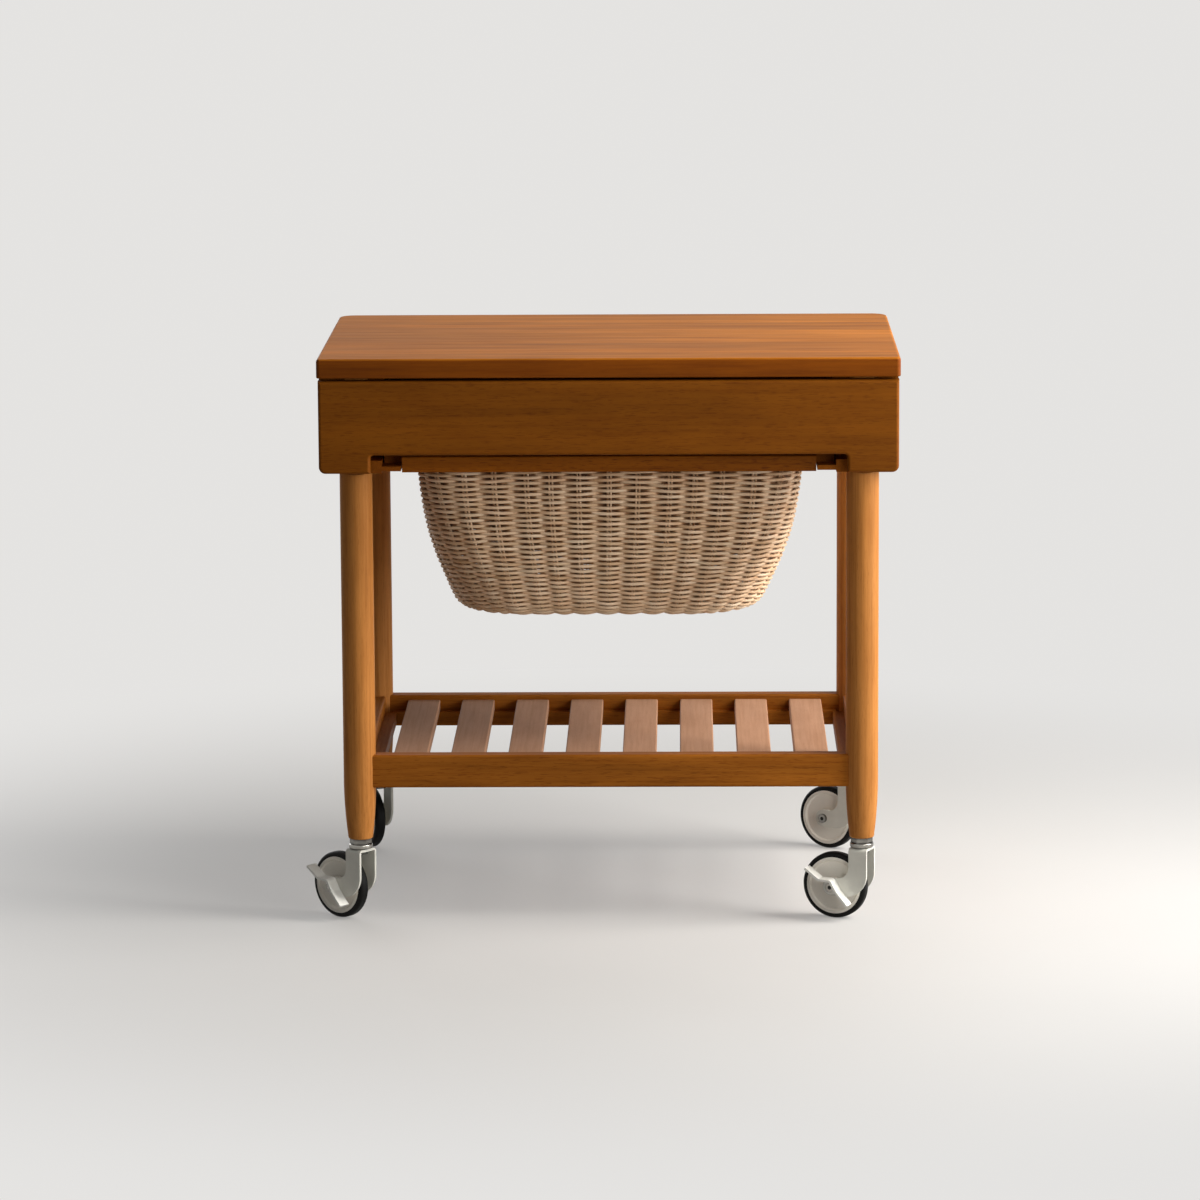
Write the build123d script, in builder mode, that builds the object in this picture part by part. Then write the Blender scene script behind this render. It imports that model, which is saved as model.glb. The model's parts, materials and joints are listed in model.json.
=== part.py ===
from build123d import *
import os
from math import cos, radians, sin

# A rolling side cart: a wooden case with a wide drawer, a pull-out tray that
# carries a wicker basket, a slatted shelf between four round legs, and four
# swivel casters, the front two with brake levers.
# Millimetres. X runs to the right, Y to the back, Z up from the floor.
# The origin is on the floor under the middle of the top.

# Top board
top_length = 600.0
top_depth = 396.0
top_thickness = 20.0
top_front_corner = 4.0
top_back_corner = 18.0
top_edge_round = 3.0
top_under_round = 1.5

# Case below the top
case_height = 99.0
case_side_inset = 2.0
case_back_inset = 1.0
case_side_thickness = 22.0
case_back_thickness = 14.0
case_edge_round = 3.0

# Legs
leg_length = 487.5
leg_diameter = 33.8
leg_foot_diameter = 25.4
leg_taper_length = 62.0
leg_flat = 2.9
leg_flat_run_out = 0.5
leg_foot_round = 1.5

# Drawer front, with a low notch that shows the tray behind it
front_thickness = 14.0
front_clearance = 0.8
front_top_gap = 3.0
front_side_inset = 1.5
notch_height = 19.0
notch_side_gap = 12.5
notch_corner = 4.0
front_lower_corner = 7.0
front_edge_round = 3.2

# Drawer box
drawer_back_room = 17.0
drawer_side_thickness = 12.0
drawer_back_thickness = 12.0
drawer_back_drop = 4.0
drawer_bottom_thickness = 5.0
drawer_bottom_lift = 8.0
drawer_groove_depth = 5.0
drawer_side_gap = 3.0
drawer_run_gap = 0.5
drawer_kick_gap = 1.2
drawer_edge_round = 1.0

# Runners and kickers fixed to the legs
runner_thickness = 13.5
runner_set_back = 5.0
basket_runner_height = 13.0
ledge_width = 19.5
ledge_thickness = 5.0
ledge_lift = 2.0
drawer_runner_width = 17.0
drawer_runner_height = 10.0
drawer_runner_gap = 3.5
kicker_height = 14.0

# Tray frame round the basket
tray_set_back = 10.0
tray_back_room = 19.0
tray_rail_width = 18.0
tray_side_width = 11.5
tray_frame_height = 16.5
tray_under_notch = 4.5
tray_gap = 1.0
tray_edge_round = 1.5
lip_side_gap = 1.5
lip_run_gap = 0.4
rebate_width = 4.5
rebate_depth = 10.5

# Wicker basket
basket_height = 172.0
basket_gap = 0.6
basket_wall = 6.0
basket_floor = 7.0
basket_foot_draw = 45.0
basket_top_corner = 38.0
basket_foot_corner = 78.0
basket_foot_round = 20.0
basket_courses = 30
basket_course_depth = 2.0
basket_stations = (0.0, 0.35, 0.7, 1.0)
rim_height = 7.4
rim_gap = 0.6
rim_round = 2.5

# Slatted shelf
shelf_rise = 89.5
shelf_rail_height = 34.5
shelf_rail_thickness = 19.2
shelf_edge_round = 2.5
tenon_height = 22.0
tenon_thickness = 8.0
tenon_depth = 12.0
cleat_width = 12.0
cleat_height = 12.5
cleat_end_gap = 0.5
slat_count = 8
slat_width = 35.5
slat_thickness = 12.0
slat_drop = 5.0
slat_end_gap = 0.5
slat_edge_round = 1.5
slat_end_round = 1.0

# Wheels
wheel_diameter = 70.0
tyre_thickness = 5.0
tyre_width = 12.0
tyre_round = 3.5
rim_lip = 3.0
rim_recess = 2.0
rim_slope = 1.5
hub_diameter = 15.0
hub_gap = 0.3

# Caster forks, bent from sheet
trail = 29.0
fork_headroom = 5.0
fork_side_gap = 4.2
fork_sheet = 2.5
fork_arm_width = 20.0
fork_end_radius = 9.5
fork_elbow_radius = 24.0
fork_throat_radius = 12.0
fork_bend_radius = 4.0

# Caster axles and stems
axle_diameter = 6.0
axle_head_diameter = 10.0
axle_head_height = 2.6
running_clearance = 0.05
swivel_diameter = 9.9
swivel_gap = 0.4
rivet_diameter = 15.0
rivet_height = 2.6
cup_diameter = 25.0
cup_height = 5.1
cup_round = 1.6
nut_sides = 6
nut_across_flats = 20.0
nut_height = 5.5
stem_diameter = 8.0
stem_length = 38.0
stem_fit = 0.2

# Brake levers: an S-bent strip on a lug, its corners measured from the axle,
# first away from the stem and then up
brake_gap = 0.4
brake_lug_thickness = 2.0
brake_lug_radius = 8.0
brake_strip_thickness = 2.4
brake_strip_width = 13.0
brake_bend_radius = 4.0
brake_corners = ((25.0, 20.0), (10.0, 9.0), (-3.0, 8.5), (-9.5, -3.0), (-22.0, -17.0))

# Direction in which each wheel trails behind its stem, in degrees from +X
heading_degrees = {"front_left": 140.0, "front_right": 157.0, "rear_left": 118.0, "rear_right": 147.0}
braked = ("front_left", "front_right")

# Heights, stacked up from the floor: wheel, fork, cup, nut, leg
wheel_radius = wheel_diameter / 2
rim_radius = wheel_radius - tyre_thickness
plate_bottom = wheel_diameter + fork_headroom
fork_top = plate_bottom + fork_sheet
cup_bottom = fork_top + swivel_gap
cup_top = cup_bottom + cup_height
caster_height = cup_top + nut_height
top_underside = caster_height + leg_length
case_bottom = top_underside - case_height
notch_top = case_bottom + notch_height
tray_top = notch_top - tray_under_notch
tray_bottom = tray_top - tray_frame_height
ledge_top = tray_bottom + ledge_lift + ledge_thickness
lip_bottom = ledge_top + lip_run_gap
rebate_bottom = tray_top - rebate_depth
basket_top = rebate_bottom + rim_height
basket_runner_top = tray_bottom + basket_runner_height
drawer_runner_bottom = max(tray_top, basket_runner_top) + drawer_runner_gap
drawer_runner_top = drawer_runner_bottom + drawer_runner_height
drawer_side_bottom = drawer_runner_top + drawer_run_gap
drawer_bottom_z = drawer_side_bottom + drawer_bottom_lift
kicker_bottom = top_underside - kicker_height
drawer_side_top = kicker_bottom - drawer_kick_gap
shelf_top = caster_height + shelf_rise
shelf_bottom = shelf_top - shelf_rail_height
shelf_middle = (shelf_top + shelf_bottom) / 2
slat_top = shelf_top - slat_drop
slat_bottom = slat_top - slat_thickness
flat_bottom = min(case_bottom, tray_bottom) - leg_flat_run_out

# Front to back
front_face_y = -top_depth / 2
front_back_y = front_face_y + front_thickness
case_front_y = front_back_y + front_clearance
case_back_y = top_depth / 2 - case_back_inset
back_inner_y = case_back_y - case_back_thickness
runner_front_y = case_front_y + runner_set_back
runner_length = back_inner_y - runner_front_y
drawer_back_y = back_inner_y - drawer_back_room
tray_front_y = front_back_y + tray_set_back
tray_back_y = back_inner_y - tray_back_room
tray_middle_y = (tray_front_y + tray_back_y) / 2
tray_inner_half_y = (tray_back_y - tray_front_y) / 2 - tray_rail_width

# The leg tops are planed to four flats, for the case and for the runners
leg_radius = leg_diameter / 2
leg_flat_reach = leg_radius - leg_flat
case_outer_x = top_length / 2 - case_side_inset
case_inner_x = case_outer_x - case_side_thickness
leg_x = case_inner_x - leg_flat_reach
front_leg_y = case_front_y + leg_flat_reach
rear_leg_y = back_inner_y - leg_flat_reach
leg_places = {
    "front_left": (-leg_x, front_leg_y),
    "front_right": (leg_x, front_leg_y),
    "rear_left": (-leg_x, rear_leg_y),
    "rear_right": (leg_x, rear_leg_y),
}

# From the legs inwards
runner_outer_x = leg_x - leg_flat_reach
runner_inner_x = runner_outer_x - runner_thickness
drawer_runner_x = runner_outer_x - drawer_runner_width / 2
drawer_outer_x = runner_outer_x - drawer_side_gap
drawer_inner_x = drawer_outer_x - drawer_side_thickness
drawer_panel_x = drawer_inner_x + drawer_groove_depth
lip_outer_x = runner_inner_x - lip_side_gap
tray_outer_x = runner_inner_x - ledge_width - tray_gap
tray_inner_x = tray_outer_x - tray_side_width
rebate_x = tray_inner_x + rebate_width
shelf_inner_x = leg_x - shelf_rail_thickness / 2
shelf_inner_front = front_leg_y + shelf_rail_thickness / 2
shelf_inner_back = rear_leg_y - shelf_rail_thickness / 2
tenon_reach = leg_radius - tenon_depth

os.makedirs("parts", exist_ok=True)


def save(piece, name):
    piece.part.label = name
    export_step(piece.part, f"parts/{name}.step")


def facing_front(x, y, z):
    # Across is +X, up is +Z, and a positive extrusion comes forward
    return Plane(origin=(x, y, z), x_dir=(1, 0, 0), z_dir=(0, -1, 0))


def facing_up(x, y, z):
    return Plane(origin=(x, y, z))


# Top board, corners rounded more at the back than at the front
with BuildPart() as top_panel:
    with BuildSketch(facing_up(0, 0, top_underside)):
        Rectangle(top_length, top_depth)
    extrude(amount=top_thickness)
    upright = top_panel.edges().filter_by(Axis.Z).group_by(Axis.Y)
    fillet(upright[0], top_front_corner)
    upright = top_panel.edges().filter_by(Axis.Z).group_by(Axis.Y)
    fillet(upright[-1], top_back_corner)
    fillet(top_panel.faces().sort_by(Axis.Z)[-1].edges(), top_edge_round)
    fillet(top_panel.faces().sort_by(Axis.Z)[0].edges(), top_under_round)
save(top_panel, "top_panel")

# Case sides and back
for side, sign in (("left", -1), ("right", 1)):
    side_x = sign * (case_outer_x - case_side_thickness / 2)
    with BuildPart() as case_side:
        with BuildSketch(facing_up(side_x, (case_front_y + case_back_y) / 2, case_bottom)):
            Rectangle(case_side_thickness, case_back_y - case_front_y)
        extrude(amount=case_height)
        fillet(case_side.faces().sort_by(Axis.Z)[0].edges().filter_by(Axis.Y), case_edge_round)
        back_edges = case_side.edges().filter_by(Axis.Z).group_by(Axis.Y)[-1]
        fillet(back_edges.sort_by(Axis.X)[0 if sign < 0 else -1], case_edge_round)
    save(case_side, f"case_side_{side}")

with BuildPart() as case_back:
    with BuildSketch(facing_up(0, back_inner_y + case_back_thickness / 2, case_bottom)):
        Rectangle(2 * case_inner_x, case_back_thickness)
    extrude(amount=case_height)
    fillet(case_back.faces().sort_by(Axis.Z)[0].edges().filter_by(Axis.X), case_edge_round)
save(case_back, "case_back")

# Legs: turned, drawn in to the foot, planed flat inside the case, mortised for
# the shelf rails and bored for the caster stems
for place, (x, y) in leg_places.items():
    inward_x = -1 if x > 0 else 1
    inward_y = -1 if y > 0 else 1
    with BuildPart() as leg:
        with BuildSketch(facing_front(x, y, caster_height)):
            with BuildLine():
                foot = (leg_foot_diameter / 2, 0)
                shoulder = (leg_radius, leg_taper_length)
                Line((0, 0), foot)
                TangentArc(shoulder, foot, tangent=(0, -1))
                Polyline(shoulder, (leg_radius, leg_length), (0, leg_length), (0, 0))
            make_face()
        revolve(axis=Axis((x, y, 0), (0, 0, 1)))
        fillet(leg.faces().sort_by(Axis.Z)[0].edges(), leg_foot_round)
        with BuildSketch(facing_up(x, y, flat_bottom)):
            Circle(leg_diameter)
            Rectangle(2 * leg_flat_reach, 2 * leg_flat_reach, mode=Mode.SUBTRACT)
        extrude(amount=top_underside - flat_bottom, mode=Mode.SUBTRACT)
        side_mortise = Plane((x + inward_x * tenon_reach, y, shelf_middle), (0, 1, 0), (inward_x, 0, 0))
        end_mortise = Plane((x, y + inward_y * tenon_reach, shelf_middle), (1, 0, 0), (0, inward_y, 0))
        with BuildSketch(side_mortise, end_mortise):
            Rectangle(tenon_thickness, tenon_height)
        extrude(amount=leg_radius, mode=Mode.SUBTRACT)
        with BuildSketch(facing_up(x, y, caster_height)):
            Circle(stem_diameter / 2 + stem_fit)
        extrude(amount=stem_length + stem_fit, mode=Mode.SUBTRACT)
    save(leg, f"leg_{place}")

# Drawer front: overlays the case and is cut away below between two feet
front_half = top_length / 2 - front_side_inset
front_height = case_height - front_top_gap
with BuildPart() as drawer_front:
    with BuildSketch(facing_front(0, front_back_y, case_bottom)):
        with Locations((0, front_height / 2)):
            Rectangle(2 * front_half, front_height)
        with Locations((0, notch_height / 2)):
            Rectangle(2 * (lip_outer_x + notch_side_gap), notch_height, mode=Mode.SUBTRACT)
        foot_corners = vertices().group_by(Axis.Y)[0].sort_by(Axis.X)
        fillet([foot_corners[0], foot_corners[-1]], front_lower_corner)
        inner_corners = vertices().filter_by_position(Axis.Y, notch_height, notch_height)
        fillet(inner_corners, notch_corner)
    extrude(amount=front_thickness)
    fillet(drawer_front.faces().sort_by(Axis.Y)[0].edges(), front_edge_round)
    with BuildSketch(facing_front(0, front_back_y, drawer_bottom_z + drawer_bottom_thickness / 2)):
        Rectangle(2 * drawer_panel_x, drawer_bottom_thickness)
    extrude(amount=drawer_groove_depth, mode=Mode.SUBTRACT)
save(drawer_front, "drawer_front")

# Drawer box: grooved sides, a loose bottom panel, and a back that stands on it
drawer_side_x = (drawer_inner_x + drawer_outer_x) / 2
drawer_side_middle = (drawer_side_bottom + drawer_side_top) / 2
for side, sign in (("left", -1), ("right", 1)):
    with BuildPart() as drawer_side:
        with BuildSketch(facing_front(0, front_back_y, 0)):
            with Locations((sign * drawer_side_x, drawer_side_middle)):
                Rectangle(drawer_side_thickness, drawer_side_top - drawer_side_bottom)
            groove_x = drawer_inner_x + drawer_groove_depth / 2
            with Locations((sign * groove_x, drawer_bottom_z + drawer_bottom_thickness / 2)):
                Rectangle(drawer_groove_depth, drawer_bottom_thickness, mode=Mode.SUBTRACT)
        extrude(amount=front_back_y - drawer_back_y)
        fillet(drawer_side.faces().sort_by(Axis.Z)[-1].edges().filter_by(Axis.Y), drawer_edge_round)
    save(drawer_side, f"drawer_side_{side}")

with BuildPart() as drawer_back:
    back_bottom = drawer_bottom_z + drawer_bottom_thickness
    with BuildSketch(facing_up(0, drawer_back_y - drawer_back_thickness / 2, back_bottom)):
        Rectangle(2 * drawer_inner_x, drawer_back_thickness)
    extrude(amount=drawer_side_top - drawer_back_drop - back_bottom)
    fillet(drawer_back.faces().sort_by(Axis.Z)[-1].edges().filter_by(Axis.X), drawer_edge_round)
save(drawer_back, "drawer_back")

with BuildPart() as drawer_bottom:
    panel_front_y = front_back_y - drawer_groove_depth
    with BuildSketch(facing_up(0, (panel_front_y + drawer_back_y) / 2, drawer_bottom_z)):
        Rectangle(2 * drawer_panel_x, drawer_back_y - panel_front_y)
    extrude(amount=drawer_bottom_thickness)
save(drawer_bottom, "drawer_bottom")

# Runners, fixed to the leg flats: the stepped pair carries the tray on its
# ledges, the plain pair carries the drawer
for side, sign in (("left", -1), ("right", 1)):
    ledge_end_x = runner_inner_x - ledge_width
    with BuildPart() as basket_runner:
        with BuildSketch(facing_front(0, runner_front_y, 0)):
            with BuildLine():
                Polyline(
                    (sign * runner_outer_x, tray_bottom),
                    (sign * runner_outer_x, basket_runner_top),
                    (sign * runner_inner_x, basket_runner_top),
                    (sign * runner_inner_x, ledge_top),
                    (sign * ledge_end_x, ledge_top),
                    (sign * ledge_end_x, ledge_top - ledge_thickness),
                    (sign * runner_inner_x, ledge_top - ledge_thickness),
                    (sign * runner_inner_x, tray_bottom),
                    close=True,
                )
            make_face()
        extrude(amount=-runner_length)
    save(basket_runner, f"basket_runner_{side}")

    with BuildPart() as drawer_runner:
        with BuildSketch(facing_front(sign * drawer_runner_x, runner_front_y, drawer_runner_bottom)):
            with Locations((0, drawer_runner_height / 2)):
                Rectangle(drawer_runner_width, drawer_runner_height)
        extrude(amount=-runner_length)
        fillet(drawer_runner.faces().sort_by(Axis.Z)[-1].edges().filter_by(Axis.Y), drawer_edge_round)
    save(drawer_runner, f"drawer_runner_{side}")

# Kickers under the top keep the open drawer from tipping
with BuildPart() as drawer_kickers:
    with BuildSketch(facing_front(0, runner_front_y, kicker_bottom)):
        with Locations((-drawer_runner_x, kicker_height / 2), (drawer_runner_x, kicker_height / 2)):
            Rectangle(drawer_runner_width, kicker_height)
    extrude(amount=-runner_length)
save(drawer_kickers, "drawer_kickers")

# Tray frame: rebated inside for the basket's rim, with side lips on the ledges
for end, outer_y, inward in (("front", tray_front_y, 1), ("back", tray_back_y, -1)):
    with BuildPart() as tray_rail:
        with BuildSketch(facing_up(0, outer_y + inward * tray_rail_width / 2, tray_bottom)):
            Rectangle(2 * tray_outer_x, tray_rail_width)
        extrude(amount=tray_frame_height)
        outer_face = tray_rail.faces().sort_by(Axis.Y)[0 if inward > 0 else -1]
        fillet(outer_face.edges().filter_by(Axis.X), tray_edge_round)
        rebate_y = outer_y + inward * (tray_rail_width - rebate_width / 2)
        with BuildSketch(facing_up(0, rebate_y, rebate_bottom)):
            Rectangle(2 * rebate_x, rebate_width)
        extrude(amount=rebate_depth, mode=Mode.SUBTRACT)
    save(tray_rail, f"tray_rail_{end}")

for side, sign in (("left", -1), ("right", 1)):
    with BuildPart() as tray_side:
        with BuildSketch(facing_front(0, tray_middle_y - tray_inner_half_y, 0)):
            with BuildLine():
                Polyline(
                    (sign * tray_inner_x, tray_bottom),
                    (sign * tray_outer_x, tray_bottom),
                    (sign * tray_outer_x, lip_bottom),
                    (sign * lip_outer_x, lip_bottom),
                    (sign * lip_outer_x, tray_top),
                    (sign * rebate_x, tray_top),
                    (sign * rebate_x, rebate_bottom),
                    (sign * tray_inner_x, rebate_bottom),
                    close=True,
                )
            make_face()
        extrude(amount=-2 * tray_inner_half_y)
    save(tray_side, f"tray_side_{side}")


# Wicker basket: an open tub hung by its rim, drawn in faster towards its foot.
# Outside it is ribbed by its woven courses, each rib two rows of cane high
def basket_wall_draw(z):
    return basket_gap + basket_foot_draw * ((basket_top - z) / basket_height) ** 2


def basket_outline(z, draw):
    share = (basket_top - z) / basket_height
    corner = basket_top_corner + (basket_foot_corner - basket_top_corner) * share
    corner -= draw - basket_wall_draw(z)
    return 2 * (tray_inner_x - draw), 2 * (tray_inner_half_y - draw), corner


# Half section of the outside: across is how far it is drawn in, up is +Z
basket_foot = basket_top - basket_height
with BuildLine() as basket_profile:
    wall_line = Bezier(
        (basket_gap, basket_top),
        (basket_gap, (basket_top + basket_foot) / 2),
        (basket_gap + basket_foot_draw, basket_foot),
    )
    Line(wall_line @ 1, (tray_inner_half_y, basket_foot))
    fillet(basket_profile.vertices().sort_by(Axis.X)[-2], basket_foot_round)
basket_side = Wire(basket_profile.edges().sort_by(Axis.X)[:-1])

with BuildPart() as wicker_basket:
    for station in range(2 * basket_courses + 1):
        place = basket_side @ (station / (2 * basket_courses))
        way = basket_side % (station / (2 * basket_courses))
        groove = basket_course_depth * (station % 2)
        z = place.Y + way.X * groove
        with BuildSketch(facing_up(0, tray_middle_y, z)):
            RectangleRounded(*basket_outline(z, place.X - way.Y * groove))
    loft(ruled=True)
    rim_out = rebate_width - rim_gap
    with BuildSketch(facing_up(0, tray_middle_y, rebate_bottom)):
        RectangleRounded(
            2 * (tray_inner_x + rim_out), 2 * (tray_inner_half_y + rim_out), basket_top_corner + rim_out
        )
    extrude(amount=rim_height)
    fillet(wicker_basket.faces().sort_by(Axis.Z)[-1].edges(), rim_round)
    for station in basket_stations:
        z = basket_top - station * (basket_height - basket_floor)
        with BuildSketch(facing_up(0, tray_middle_y, z)):
            RectangleRounded(*basket_outline(z, basket_wall_draw(z) + basket_wall))
    loft(mode=Mode.SUBTRACT)
    floor_face = wicker_basket.faces().filter_by(Axis.Z).sort_by(Axis.Z)[1]
    fillet(floor_face.edges(), basket_foot_round - basket_wall)
save(wicker_basket, "wicker_basket")

# Shelf rails: coped to the round legs and tenoned into them
for end, y in (("front", front_leg_y), ("rear", rear_leg_y)):
    with BuildPart() as shelf_rail:
        with BuildSketch(facing_up(0, y, shelf_bottom)):
            Rectangle(2 * leg_x, shelf_rail_thickness)
        extrude(amount=shelf_rail_height)
        fillet(shelf_rail.edges().filter_by(Axis.X), shelf_edge_round)
        with BuildSketch(facing_up(0, y, shelf_bottom)):
            with Locations((-leg_x, 0), (leg_x, 0)):
                Circle(leg_radius)
        extrude(amount=shelf_rail_height, mode=Mode.SUBTRACT)
        with BuildSketch(facing_up(0, y, shelf_middle)):
            Rectangle(2 * (leg_x - tenon_reach), tenon_thickness)
        extrude(amount=tenon_height / 2, both=True)
    save(shelf_rail, f"shelf_rail_{end}")

for side, x in (("left", -leg_x), ("right", leg_x)):
    rail_middle_y = (front_leg_y + rear_leg_y) / 2
    rail_half_y = (rear_leg_y - front_leg_y) / 2
    with BuildPart() as shelf_rail:
        with BuildSketch(facing_up(x, rail_middle_y, shelf_bottom)):
            Rectangle(shelf_rail_thickness, 2 * rail_half_y)
        extrude(amount=shelf_rail_height)
        fillet(shelf_rail.edges().filter_by(Axis.Y), shelf_edge_round)
        with BuildSketch(facing_up(x, rail_middle_y, shelf_bottom)):
            with Locations((0, -rail_half_y), (0, rail_half_y)):
                Circle(leg_radius)
        extrude(amount=shelf_rail_height, mode=Mode.SUBTRACT)
        with BuildSketch(facing_up(x, rail_middle_y, shelf_middle)):
            Rectangle(tenon_thickness, 2 * (rail_half_y - tenon_reach))
        extrude(amount=tenon_height / 2, both=True)
    save(shelf_rail, f"shelf_rail_{side}")

# Cleats inside the rails: the long pair carries the slats, the short pair
# closes the ring
cleat_bottom = slat_bottom - cleat_height
shelf_middle_y = (shelf_inner_front + shelf_inner_back) / 2
with BuildPart() as slat_cleats:
    for cleat_y in (shelf_inner_front + cleat_width / 2, shelf_inner_back - cleat_width / 2):
        with BuildSketch(facing_up(0, cleat_y, cleat_bottom)):
            Rectangle(2 * (leg_x - leg_radius - cleat_end_gap), cleat_width)
    extrude(amount=cleat_height)
save(slat_cleats, "slat_cleats")

with BuildPart() as side_cleats:
    for cleat_x in (cleat_width / 2 - shelf_inner_x, shelf_inner_x - cleat_width / 2):
        with BuildSketch(facing_up(cleat_x, shelf_middle_y, cleat_bottom)):
            Rectangle(cleat_width, shelf_inner_back - shelf_inner_front - 2 * cleat_width)
    extrude(amount=cleat_height)
save(side_cleats, "side_cleats")

# Slats, spread with equal gaps between the side rails
slat_gap = (2 * shelf_inner_x - slat_count * slat_width) / (slat_count + 1)
for index in range(slat_count):
    slat_x = -shelf_inner_x + slat_gap + slat_width / 2 + index * (slat_width + slat_gap)
    with BuildPart() as shelf_slat:
        with BuildSketch(facing_up(slat_x, shelf_middle_y, slat_bottom)):
            Rectangle(slat_width, shelf_inner_back - shelf_inner_front - 2 * slat_end_gap)
        extrude(amount=slat_thickness)
        fillet(shelf_slat.edges().filter_by(Axis.Y), slat_edge_round)
        fillet(shelf_slat.faces().sort_by(Axis.Z)[-1].edges().filter_by(Axis.X), slat_end_round)
    save(shelf_slat, f"shelf_slat_{index + 1}")

# Casters: a stem in each leg, a bent fork that swivels on it, and a wheel that
# trails behind. The front pair has a brake lever on the outer side of the fork
fork_inner_half = tyre_width / 2 + fork_side_gap
fork_outer_half = fork_inner_half + fork_sheet
lug_inner = fork_outer_half + brake_gap
lug_outer = lug_inner + brake_lug_thickness
for place, (x, y) in leg_places.items():
    turn = radians(heading_degrees[place])
    trailing = Vector(cos(turn), sin(turn), 0)
    axle_way = Vector(-sin(turn), cos(turn), 0)
    centre = Vector(x, y, wheel_radius) + trailing * trail
    # Side view: across is the trailing way, up is +Z, measured from below the stem
    side_view = Plane(origin=(x, y, 0), x_dir=trailing, z_dir=-axle_way)
    # End view: across is the axle, up is +Z, measured from the wheel's centre
    end_view = Plane(origin=centre, x_dir=axle_way, z_dir=trailing)

    with BuildPart() as stem:
        rivet_top = plate_bottom - swivel_gap
        with BuildSketch(facing_front(x, y, 0)):
            with BuildLine():
                Polyline(
                    (0, rivet_top - rivet_height),
                    (rivet_diameter / 2, rivet_top - rivet_height),
                    (rivet_diameter / 2, rivet_top),
                    (swivel_diameter / 2, rivet_top),
                    (swivel_diameter / 2, cup_bottom),
                    (cup_diameter / 2, cup_bottom),
                    (cup_diameter / 2, cup_top),
                    (stem_diameter / 2, cup_top),
                    (stem_diameter / 2, caster_height + stem_length),
                    (0, caster_height + stem_length),
                    close=True,
                )
            make_face()
        revolve(axis=Axis((x, y, 0), (0, 0, 1)))
        fillet(stem.edges().filter_by(GeomType.CIRCLE).sort_by(SortBy.RADIUS)[-2:], cup_round)
        with BuildSketch(facing_up(x, y, cup_top)):
            RegularPolygon(nut_across_flats / 2, nut_sides, major_radius=False)
        extrude(amount=nut_height)
    save(stem, f"caster_stem_{place}")

    with BuildPart() as fork:
        arm_half = fork_arm_width / 2
        end_top = wheel_radius + fork_end_radius
        end_bottom = wheel_radius - fork_end_radius
        with BuildSketch(side_view):
            with BuildLine():
                Polyline(
                    (-arm_half, end_bottom + fork_elbow_radius), (-arm_half, fork_top), (arm_half, fork_top),
                    (arm_half, end_top + fork_throat_radius),
                )
                TangentArc(
                    (arm_half, end_top + fork_throat_radius), (arm_half + fork_throat_radius, end_top),
                    tangent=(0, -1),
                )
                Line((arm_half + fork_throat_radius, end_top), (trail, end_top))
                ThreePointArc((trail, end_top), (trail + fork_end_radius, wheel_radius), (trail, end_bottom))
                Line((trail, end_bottom), (fork_elbow_radius - arm_half, end_bottom))
                TangentArc(
                    (fork_elbow_radius - arm_half, end_bottom), (-arm_half, end_bottom + fork_elbow_radius),
                    tangent=(-1, 0),
                )
            make_face()
        extrude(amount=fork_outer_half, both=True)
        top_edges = fork.faces().sort_by(Axis.Z)[-1].edges()
        fillet(top_edges.filter_by(Axis((0, 0, 0), trailing)), fork_bend_radius)
        with BuildSketch(side_view):
            with Locations((0, plate_bottom / 2)):
                Rectangle(2 * (trail + wheel_radius), plate_bottom)
        extrude(amount=fork_inner_half, both=True, mode=Mode.SUBTRACT)
        with BuildSketch(facing_up(x, y, plate_bottom)):
            Circle(swivel_diameter / 2 + running_clearance)
        extrude(amount=fork_sheet, mode=Mode.SUBTRACT)
        with BuildSketch(side_view):
            with Locations((trail, wheel_radius)):
                Circle(axle_diameter / 2 + running_clearance)
        extrude(amount=fork_outer_half, both=True, mode=Mode.SUBTRACT)
    save(fork, f"caster_fork_{place}")

    with BuildPart() as axle:
        head_inner = lug_outer + brake_gap if place in braked else fork_outer_half
        with BuildSketch(end_view):
            with BuildLine():
                Polyline(
                    (-fork_outer_half - axle_head_height, 0),
                    (-fork_outer_half - axle_head_height, axle_head_diameter / 2),
                    (-fork_outer_half, axle_head_diameter / 2),
                    (-fork_outer_half, axle_diameter / 2),
                    (head_inner, axle_diameter / 2),
                    (head_inner, axle_head_diameter / 2),
                    (head_inner + axle_head_height, axle_head_diameter / 2),
                    (head_inner + axle_head_height, 0),
                    close=True,
                )
            make_face()
        revolve(axis=Axis(centre, axle_way))
    save(axle, f"caster_axle_{place}")

    with BuildPart() as core:
        hub_half = fork_inner_half - hub_gap
        rim_half = tyre_width / 2
        with BuildSketch(end_view):
            with BuildLine():
                Polyline(
                    (0, axle_diameter / 2 + running_clearance),
                    (hub_half, axle_diameter / 2 + running_clearance),
                    (hub_half, hub_diameter / 2),
                    (rim_half - rim_recess, hub_diameter / 2 + rim_slope),
                    (rim_half - rim_recess, rim_radius - rim_lip - rim_slope),
                    (rim_half, rim_radius - rim_lip),
                    (rim_half, rim_radius),
                    (0, rim_radius),
                    close=True,
                )
            make_face()
            mirror(about=Plane.YZ)
        revolve(axis=Axis(centre, axle_way))
    save(core, f"wheel_core_{place}")

    with BuildPart() as tyre:
        with BuildSketch(end_view):
            with Locations((0, rim_radius + tyre_thickness / 2)):
                Rectangle(tyre_width, tyre_thickness)
            fillet(vertices().group_by(Axis.Y)[-1], tyre_round)
        revolve(axis=Axis(centre, axle_way))
    save(tyre, f"wheel_tyre_{place}")

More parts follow.
